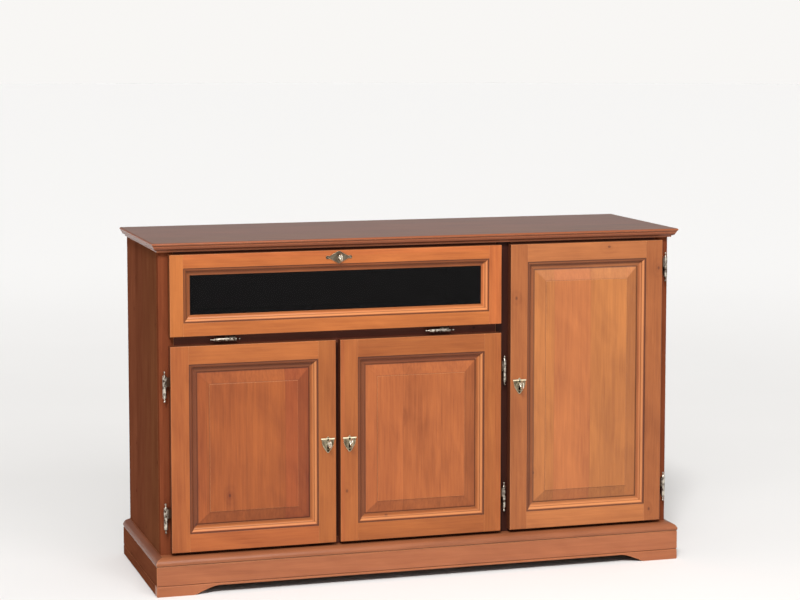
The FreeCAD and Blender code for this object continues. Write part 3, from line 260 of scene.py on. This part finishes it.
def moulding_shade(graph, lines, slopes, painted_shadow):
    """Painted shade in a moulding: faces across the front, bands of depth in its creases, and right and lower
    slopes turned from the light.

    The last argument is (axis, from, to, strength): a painted cast shadow darkens the whole moulding where
    the coordinate passes from - to.
    """
    facing = graph.split(graph.place("Normal"))
    place = graph.split(graph.place())
    depth = graph.math("SUBTRACT", place[1], DOOR_FACE)
    # painted shade on faces across the front, in the gaps between parts
    painted_shade = graph.smooth(graph.math("ABSOLUTE", facing[1]), *ACROSS_SHADE_STEP)
    # painted shade on slopes to the right and downwards, away from the light
    for slope in (facing[0], graph.math("MULTIPLY", facing[2], -1.0)):
        painted_shade = graph.math("MAXIMUM", painted_shade, graph.smooth(slope, slopes[0], slopes[1], 0.0, slopes[2]))
    # painted shade in bands of depth, in the moulding's creases
    enter, leave = BAND_STEPS
    for near, far, strength in lines:
        after = graph.smooth(depth, near + enter[0], near + enter[1], 0.0, strength)
        before = graph.smooth(depth, far + leave[0], far + leave[1])
        painted_shade = graph.math("MAXIMUM", painted_shade, graph.math("MULTIPLY", after, before))
    # a painted cast shadow over a whole moulding
    if painted_shadow:
        axis, start, end, strength = painted_shadow
        side = graph.smooth(place["XYZ".index(axis)], start, end, 0.0, strength)
        enter, leave = SHADOW_DEPTH_STEPS
        sunk = graph.math("MULTIPLY", graph.smooth(depth, *enter), graph.smooth(depth, *leave))
        painted_shade = graph.math("MAXIMUM", painted_shade, graph.math("MULTIPLY", side, sunk))
    return painted_shade


def lit_slope_highlight(graph):
    """Painted highlight: lighter slopes to the left and upwards, which face the light."""
    facing = graph.split(graph.place("Normal"))
    slope = graph.math("MAXIMUM", graph.math("MULTIPLY", facing[0], -1.0), facing[2])
    return graph.math("MULTIPLY", graph.smooth(slope, *LIT_SLOPE_STEP), graph.smooth(facing[1], *FORWARD_STEP))


def under_shade(graph):
    """Painted shade on the faces that look down."""
    down = graph.math("MULTIPLY", graph.split(graph.place("Normal"))[2], -1.0)
    return graph.smooth(down, *DOWN_SHADE_STEP)


def wood(name, along, across, tones, seed=0.0, coat=0.22, shine=0.20, lines=(), slopes=FRAME_SLOPES,
         painted_shadow=None, border=None, edge_tone=None, staves=True):
    """Stained and lacquered wood.

    lines and slopes say where painted shade darkens a moulding; the cast-shadow argument after them adds a
    painted cast shadow and painted highlights on the lit slopes. border is the box of the whole front, whose
    outline is worn most and brightest with painted highlight. edge_tone colours the edges of a flat board.
    """
    graph = Graph(name)
    length, width, depth, random, edge = wood_axes(graph, along, across, seed)
    tone, fibre, knot = wood_figure(graph, length, width, depth, random)
    colour = graph.mix(tone, tones["dark"], tones["light"])
    chance = graph.node("ShaderNodeSeparateColor", {0: random.outputs["Color"]}).outputs
    value = graph.span(chance[0], *STAVE_VALUE)
    hue = graph.span(chance[1], *STAVE_HUE)
    colour = graph.node("ShaderNodeHueSaturation", {"Color": colour, "Hue": hue, "Value": value}).outputs[0]
    colour = graph.mix(graph.math("MULTIPLY", knot, KNOT_DARKNESS), colour, tones["deep"])
    if staves:
        joint = graph.smooth(graph.math("PINGPONG", edge, 0.5), *JOINT_RIM)
        colour = graph.mix(graph.math("MULTIPLY", joint, JOINT_DARKNESS), colour, tones["deep"])
    round_edges = graph.node("ShaderNodeBevel", {"Radius": EDGE_ROUND}, samples=6).outputs[0]
    if edge_tone:
        up = graph.split(graph.place("Normal"))[2]
        colour = graph.mix(graph.smooth(up, *EDGE_TURN), colour, edge_tone)
    # edges are worn and brightened as a painted highlight, most on a front's outline
    wear_and_highlight = outline(graph, border) if border else PLAIN_WEAR_AND_HIGHLIGHT
    colour = graph.mix(graph.math("MULTIPLY", edge_wear_and_highlight(graph, round_edges), wear_and_highlight), colour, WEAR_AND_HIGHLIGHT)
    # a moulding's slopes that face the light get a painted highlight
    if painted_shadow:
        colour = graph.mix(lit_slope_highlight(graph), colour, WEAR_AND_HIGHLIGHT)
    # painted shade: in a moulding, or on faces that look down
    painted_shade = moulding_shade(graph, lines, slopes, painted_shadow) if lines else under_shade(graph)
    colour = graph.mix(painted_shade, colour, tones["deep"])
    smear = graph.noise(graph.vector(length, width, depth), 26.0, 2.0)
    bump = graph.node("ShaderNodeBump", {"Strength": 0.08, "Distance": 0.0003, "Height": fibre,
                                         "Normal": round_edges}).outputs[0]
    waviness = graph.node("ShaderNodeBump", {"Strength": 0.05, "Distance": 0.002, "Height": smear,
                                             "Normal": round_edges}).outputs[0]
    roughness = graph.math("MULTIPLY_ADD", fibre, 0.10, 0.38)
    shader = graph.node("ShaderNodeBsdfPrincipled", {
        "Base Color": colour, "Roughness": roughness, "Normal": bump, "Specular IOR Level": shine,
        "Coat Weight": coat, "Coat Roughness": 0.16, "Coat IOR": 1.45, "Coat Normal": waviness})
    return graph.finish(shader.outputs[0])


# ---- metals, glass and the thin back board -----------------------------------------------------------
# dark spots of a shield plate, painted shade in its pin holes and keyhole with dirt around the pins: height
# above its key's axis, half width and half height
SHIELD_SPOTS = ((0.0074, 0.0024, 0.0024), (-0.0184, 0.0022, 0.0022), (-0.0100, 0.0023, 0.0044))
# colour of that painted shade and dirt
HOLE_SHADE_AND_DIRT = rgb(20, 14, 12)
BARREL_REACH = 0.0046          # the barrels' radius and a little more
METAL_ROUND = 0.0006           # shading radius of sharp metal edges
SHIELD_ROUND = 0.0013          # the same on the shield plates' thick rims
SPOT_RIM = (1.2, 0.8)          # of a spot's ellipse, where it begins and where it is full
BAR_RIM = (0.0010, 0.0006)     # the same for the raised bar, as depth behind its front
FAR_AWAY = 1.0


def barrel_distance(graph, place):
    """The distance from the nearest hinge pin."""
    x, y, z = graph.split(place)
    nearest = FAR_AWAY

    def off(value, centre):
        """The distance of a coordinate from a centre."""
        return graph.math("ABSOLUTE", graph.math("SUBTRACT", value, centre))

    for joint in JOINTS:
        if not joint["name"].endswith("_hinge"):
            continue
        pin_x, pin_y, pin_z = joint["pos_m"]
        across = off(z, pin_z) if joint["name"] == "flap_hinge" else off(x, pin_x)
        reach = graph.math("MAXIMUM", across, off(y, pin_y))
        nearest = graph.math("MINIMUM", reach, nearest)
    return nearest


def shield_spots(graph, place):
    """Painted shade in the shields' pin holes and keyhole with dirt around the pins, and their raised bar,
    bright from wear and a painted highlight.
    """
    x, y, z = graph.split(place)
    dark = 0.0
    for joint in JOINTS:
        if not joint["name"].endswith("_door_key_turn"):
            continue
        for rise, half_width, half_height in SHIELD_SPOTS:
            across = graph.math("DIVIDE", graph.math("SUBTRACT", x, joint["pos_m"][0]), half_width)
            up = graph.math("DIVIDE", graph.math("SUBTRACT", z, joint["pos_m"][2] + rise), half_height)
            spot = graph.math("ADD", graph.math("MULTIPLY", across, across), graph.math("MULTIPLY", up, up))
            dark = graph.math("MAXIMUM", graph.smooth(spot, *SPOT_RIM), dark)
    behind = graph.math("SUBTRACT", y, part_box("left_door_escutcheon")[0].y)
    return dark, graph.smooth(behind, *BAR_RIM)


def metal(name, bright, dull, roughness, patches=60.0, least_tarnish_and_shade=0.0, hinge=False, shield=False):
    """Worn plated metal with bright edges, from wear and a painted highlight.

    Its tarnish is patchy and at least the given floor everywhere; a hinge's leaves are darkened fully as
    painted shade. A shield has dark spots too.
    """
    graph = Graph(name)
    place = graph.place()
    tarnish_and_shade = graph.smooth(graph.noise(place, patches, 4.0, 0.60), 0.40, 0.62, least_tarnish_and_shade, 1.0)
    # a hinge's leaves, away from the barrels, are darkened fully: painted shade
    if hinge:
        shaded_leaf = graph.smooth(barrel_distance(graph, place), BARREL_REACH, BARREL_REACH + 0.0005, 0.0, 2.0)
        tarnish_and_shade = graph.math("MAXIMUM", tarnish_and_shade, shaded_leaf)
    scratches = graph.noise(place, 900.0, 3.0, 0.6)
    radius = SHIELD_ROUND if shield else METAL_ROUND
    round_edges = graph.node("ShaderNodeBevel", {"Radius": radius}, samples=4).outputs[0]
    worn_and_highlit = edge_wear_and_highlight(graph, round_edges)
    # a shield's raised bar is brightened: wear and a painted highlight
    if shield:
        dark, raised = shield_spots(graph, place)
        worn_and_highlit = graph.math("MAXIMUM", worn_and_highlit, raised)
    colour = graph.mix(graph.math("SUBTRACT", tarnish_and_shade, worn_and_highlit, clamp=True), bright, dull)
    # the shield's pin holes and keyhole are painted dark: painted shade, dirt around the pins
    if shield:
        colour = graph.mix(dark, colour, HOLE_SHADE_AND_DIRT)
    rough = graph.math("MULTIPLY_ADD", tarnish_and_shade, 0.18, roughness)
    rough = graph.math("MULTIPLY_ADD", scratches, 0.08, rough)
    bump = graph.node("ShaderNodeBump", {"Strength": 0.12, "Distance": 0.0002, "Height": scratches,
                                         "Normal": round_edges}).outputs[0]
    shader = graph.node("ShaderNodeBsdfPrincipled", {
        "Base Color": colour, "Metallic": 1.0, "Roughness": rough, "Normal": bump})
    return graph.finish(shader.outputs[0])


def glass(name):
    """Dark smoked float glass with a faint film of dust."""
    graph = Graph(name)
    place = graph.place()
    film = graph.math("MULTIPLY", graph.noise(place, 18.0, 4.0), 0.03)
    tint = graph.mix(graph.noise(place, 3.0, 2.0), rgb(78, 60, 68), rgb(92, 74, 82))
    shader = graph.node("ShaderNodeBsdfPrincipled", {
        "Base Color": tint, "Roughness": film, "IOR": 1.22, "Transmission Weight": 1.0})
    return graph.finish(shader.outputs[0])


def back_board(name):
    """Thin hardboard with a fine felted surface."""
    graph = Graph(name)
    place = graph.place()
    fibres = graph.noise(place, 420.0, 5.0, 0.7)
    clouds = graph.noise(place, 6.0, 3.0)
    colour = graph.mix(fibres, rgb(92, 62, 42), rgb(140, 100, 70))
    colour = graph.mix(graph.math("MULTIPLY", clouds, 0.4), colour, rgb(84, 54, 36))
    bump = graph.node("ShaderNodeBump", {"Strength": 0.3, "Distance": 0.0004, "Height": fibres}).outputs[0]
    shader = graph.node("ShaderNodeBsdfPrincipled", {
        "Base Color": colour, "Roughness": 0.8, "Normal": bump, "Specular IOR Level": 0.25})
    return graph.finish(shader.outputs[0])


# ---- giving every CAD node its material ----------------------------------------------------------------
# each door: wood of its stiles, rails and panel, seed, strength of the painted cast shadow on its moulding,
# coat of the panel
DOORS = (("left_door", DOOR_WOOD, DOOR_WOOD, LEFT_FIELD, 1.7, 0.60, 0.22),
         ("centre_door", DOOR_WOOD, DOOR_WOOD, CENTRE_FIELD, 4.0, 0.54, 0.22),
         ("tall_door", TALL_STILE, TALL_RAIL, TALL_FIELD, 6.3, 0.28, 0.48))
SHADOW_BLEND = 0.01            # half the width over which the painted cast shadow of one side passes into the other side


def paint(names, material):
    """Puts one material on each named node."""
    for name in names:
        slots = NODES[name].data.materials
        slots.clear()
        slots.append(material)


def cast_shadow_sides(panel, strength):
    """Where the left stile's and the top rail's mouldings lie, seen from the middle of a panel; these get a
    painted cast shadow.
    """
    low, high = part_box(panel)
    middle, height = (low.x + high.x) / 2.0, (low.z + high.z) / 2.0
    left = ("X", middle + SHADOW_BLEND, middle - SHADOW_BLEND, strength)
    top = ("Z", height - SHADOW_BLEND, height + SHADOW_BLEND, strength)
    return left, top


def paint_frame(front, middle, stile, rail, seeds, strength):
    """One front's stiles and rails around what it holds in the middle."""
    left, top = cast_shadow_sides(middle, strength)
    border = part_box(front + "_stiles")
    paint([front + "_stiles"], wood(front + "_stile_wood", "Z", "X", stile, seeds[0], lines=FRAME_LINES,
                                    painted_shadow=left, border=border, staves=False))
    paint([front + "_rails"], wood(front + "_rail_wood", "X", "Z", rail, seeds[1], lines=FRAME_LINES,
                                   painted_shadow=top, border=border, staves=False))


def paint_fronts():
    """The doors and the flap, with the grain along each board."""
    for door, stile, rail, field, seed, strength, coat in DOORS:
        paint_frame(door, door + "_panel", stile, rail, (seed, seed + 0.6), strength)
        paint([door + "_panel"], wood(door + "_panel_wood", "Z", "X", field, seed + 1.1, coat,
                                      lines=PANEL_LINES, slopes=PANEL_SLOPES))
    paint_frame("flap", "flap_glass", FLAP_WOOD, FLAP_WOOD, (9.2, 10.4), 0.52)
    paint(["flap_glazing_beads"], wood("bead_wood", "X", "Z", POST_WOOD, 11.3, staves=False))


def paint_case():
    """The case, the plinth and the inside, each with the grain along the first axis."""
    dull, faint = {"coat": 0.0, "shine": 0.0}, {"coat": 0.0, "shine": 0.1}
    paint(["top_board"],
          wood("top_wood", "X", "Y", TOP_WOOD, 12.5, coat=0.42, shine=0.15, edge_tone=TOP_EDGE))
    paint(["left_side_panel"], wood("left_side_wood", "Z", "Y", SHADED_SIDE_WOOD, 13.1, **dull))
    paint(["right_side_panel"], wood("right_side_wood", "Z", "Y", SHADED_SIDE_WOOD, 14.9, **dull))
    paint(["front_corner_posts"],
          wood("corner_post_wood", "Z", "X", POST_WOOD, 15.4, staves=False, **dull))
    paint(["plinth_front_board", "front_bracket_board"],
          wood("plinth_front_wood", "X", "Z", PLINTH_WOOD, 16.2, staves=False))
    paint(["plinth_front_moulding"],
          wood("plinth_cap_wood", "X", "Z", CAP_WOOD, 17.7, staves=False))
    paint(["plinth_side_boards", "side_runners"],
          wood("plinth_side_wood", "Y", "Z", SHADED_SIDE_WOOD, 18.3, staves=False, **dull))
    paint(["plinth_side_mouldings"],
          wood("plinth_side_cap_wood", "Y", "Z", POST_WOOD, 19.6, staves=False))
    paint(["inner_posts"],
          wood("inner_post_wood", "Z", "X", POCKET_WOOD, 20.4, staves=False, **faint))
    paint(["front_rails"],
          wood("inner_rail_wood", "X", "Z", RAIL_WOOD, 21.8, staves=False, **faint))
    paint(["partition"], wood("partition_wood", "Z", "Y", INNER_WOOD, 22.2, **faint))
    paint(["bottom_panel", "recorder_shelf", "left_shelf", "right_shelves"],
          wood("shelf_wood", "X", "Y", INNER_WOOD, 23.9, **faint))


def paint_rest():
    """Metal, glass and the back."""
    plate = metal("antique_brass", rgb(250, 240, 208), rgb(98, 86, 66), 0.30, 90.0, least_tarnish_and_shade=0.74, shield=True)
    lozenge = metal("dark_brass", rgb(236, 222, 190), rgb(84, 72, 60), 0.32, 90.0, least_tarnish_and_shade=0.86)
    key = metal("key_brass", rgb(252, 246, 230), rgb(196, 184, 156), 0.18)
    hinge = metal("hinge_metal", rgb(232, 224, 208), rgb(72, 52, 40), 0.26, 110.0, least_tarnish_and_shade=0.20, hinge=True)
    # the flap's hinge, in the recess under the flap, is darker all over: painted shade
    shaded_hinge = metal("dark_hinge_metal", rgb(216, 206, 190), rgb(46, 32, 26), 0.30, 150.0, least_tarnish_and_shade=0.45,
                       hinge=True)
    steel = metal("zinc_steel", rgb(196, 196, 194), rgb(150, 150, 148), 0.34, 24.0)
    doors = [door[0] for door in DOORS]
    moving = doors + ["flap"]
    paint([door + "_escutcheon" for door in doors], plate)
    paint(["flap_escutcheon"], lozenge)
    paint([front + "_key" for front in moving], key)
    paint([door + "_hinge_leaves" for door in doors] + ["frame_hinge_leaves"], hinge)
    paint(["flap_hinge_leaves"], shaded_hinge)
    paint([front + part for front in moving for part in ("_lock_case", "_lock_bolt")], steel)
    paint(["flap_stay_brackets", "left_stay_arm", "right_stay_arm", "stay_pins"], steel)
    paint(["shelf_pins", "strike_plates", "back_screws"], steel)
    paint(["flap_glass"], glass("smoked_glass"))
    paint(["left_back_panel", "right_back_panel"], back_board("hardboard"))


# ---- stage, light and camera ----------------------------------------------------------------------------
CAMERA_PLACE = (-1.550, -5.115, 1.308)
CAMERA_YAW = 16.864            # degrees to the right of straight ahead
CAMERA_PITCH = 5.677           # degrees below level
FOCAL = 2.79125                # focal length in widths of the sensor
SENSOR = 36.0
SHIFT_Y = -0.075
CLIP_END = 100.0
FLOOR_RADIUS = 40.0
FLOOR_FADE = (1.0, 7.0)        # distances between which the floor pales
FLOOR_NEAR = ((0.80, 0.79, 0.78, 1.0), (0.84, 0.83, 0.82, 1.0))
FLOOR_FAR = (0.97, 0.965, 0.96, 1.0)
STUDIO_WHITE = (1.0, 0.985, 0.965, 1.0)
# the world's light: from and to what height above the horizon, as a sine, and its strength there
HORIZON = (0.045, 0.12, 0.94, 0.22)
ZENITH = (0.35, 0.95, 0.0, 0.35)


def make_camera():
    """The camera, in front of the cabinet and to its left."""
    data = bpy.data.cameras.new("camera")
    data.sensor_width = SENSOR
    data.lens = FOCAL * SENSOR
    data.shift_y = SHIFT_Y
    data.clip_end = CLIP_END
    camera = bpy.data.objects.new("camera", data)
    bpy.context.scene.collection.objects.link(camera)
    camera.location = CAMERA_PLACE
    camera.rotation_euler = (math.radians(90.0 - CAMERA_PITCH), 0.0, math.radians(-CAMERA_YAW))
    bpy.context.scene.camera = camera


def make_floor():
    """A wide pale floor that gets paler towards the horizon."""
    bpy.ops.mesh.primitive_circle_add(vertices=96, radius=FLOOR_RADIUS, fill_type="NGON")
    floor = bpy.context.object
    floor.name = "floor"
    graph = Graph("pale_floor")
    place = graph.place()
    colour = graph.mix(graph.noise(place, 1.2, 3.0), *FLOOR_NEAR)
    far = graph.node("ShaderNodeVectorMath", {0: place}, operation="LENGTH").outputs["Value"]
    colour = graph.mix(graph.smooth(far, *FLOOR_FADE), colour, FLOOR_FAR)
    shader = graph.node("ShaderNodeBsdfPrincipled", {
        "Base Color": colour, "Roughness": 0.9, "Specular IOR Level": 0.1})
    floor.data.materials.append(graph.finish(shader.outputs[0]))


def make_sun(name, azimuth, elevation, strength, angle):
    """A soft distant light, angles in degrees; azimuth 0 comes from the front, negative from the left."""
    data = bpy.data.lights.new(name, "SUN")
    data.energy = strength
    data.angle = math.radians(angle)
    sun = bpy.data.objects.new(name, data)
    bpy.context.scene.collection.objects.link(sun)
    turn, rise = math.radians(azimuth), math.radians(elevation)
    level = math.cos(rise)
    towards = Vector((math.sin(turn) * level, -math.cos(turn) * level, math.sin(rise)))
    sun.rotation_euler = towards.to_track_quat("Z", "Y").to_euler()


def make_area(name, place, target, width, height, power):
    """A soft panel of light that is not seen itself."""
    data = bpy.data.lights.new(name, "AREA")
    data.shape = "RECTANGLE"
    data.size, data.size_y, data.energy = width, height, power
    lamp = bpy.data.objects.new(name, data)
    bpy.context.scene.collection.objects.link(lamp)
    lamp.location = place
    lamp.rotation_euler = (Vector(place) - Vector(target)).to_track_quat("Z", "Y").to_euler()
    lamp.visible_camera = False


def make_world():
    """Even studio surroundings with a bright band at the horizon."""
    world = bpy.data.worlds.new("studio")
    bpy.context.scene.world = world
    world.use_nodes = True
    tree = world.node_tree
    tree.nodes.clear()
    place = tree.nodes.new("ShaderNodeTexCoord")
    parts = tree.nodes.new("ShaderNodeSeparateXYZ")
    tree.links.new(place.outputs["Generated"], parts.inputs[0])

    def ramp(low, high, to_low, to_high):
        """A smooth change of strength with height."""
        made = tree.nodes.new("ShaderNodeMapRange")
        made.interpolation_type = "SMOOTHSTEP"
        for key, value in (("From Min", low), ("From Max", high), ("To Min", to_low), ("To Max", to_high)):
            made.inputs[key].default_value = value
        tree.links.new(parts.outputs[2], made.inputs["Value"])
        return made.outputs[0]

    add = tree.nodes.new("ShaderNodeMath")
    tree.links.new(ramp(*HORIZON), add.inputs[0])
    tree.links.new(ramp(*ZENITH), add.inputs[1])
    background = tree.nodes.new("ShaderNodeBackground")
    background.inputs["Color"].default_value = STUDIO_WHITE
    tree.links.new(add.outputs[0], background.inputs["Strength"])
    output = tree.nodes.new("ShaderNodeOutputWorld")
    tree.links.new(background.outputs[0], output.inputs[0])


def main():
    """Everything in order."""
    bpy.context.scene.view_settings.view_transform = "Standard"
    make_camera()
    make_floor()
    make_sun("key", azimuth=-24.0, elevation=42.0, strength=2.5, angle=12.0)
    make_sun("sheen", azimuth=29.0, elevation=23.0, strength=0.22, angle=18.0)
    make_area("front_panel", place=(-0.3, -2.0, 2.2), target=(0.0, -0.2, 0.5), width=1.4, height=0.8,
              power=30.0)
    make_world()
    paint_fronts()
    paint_case()
    paint_rest()


main()
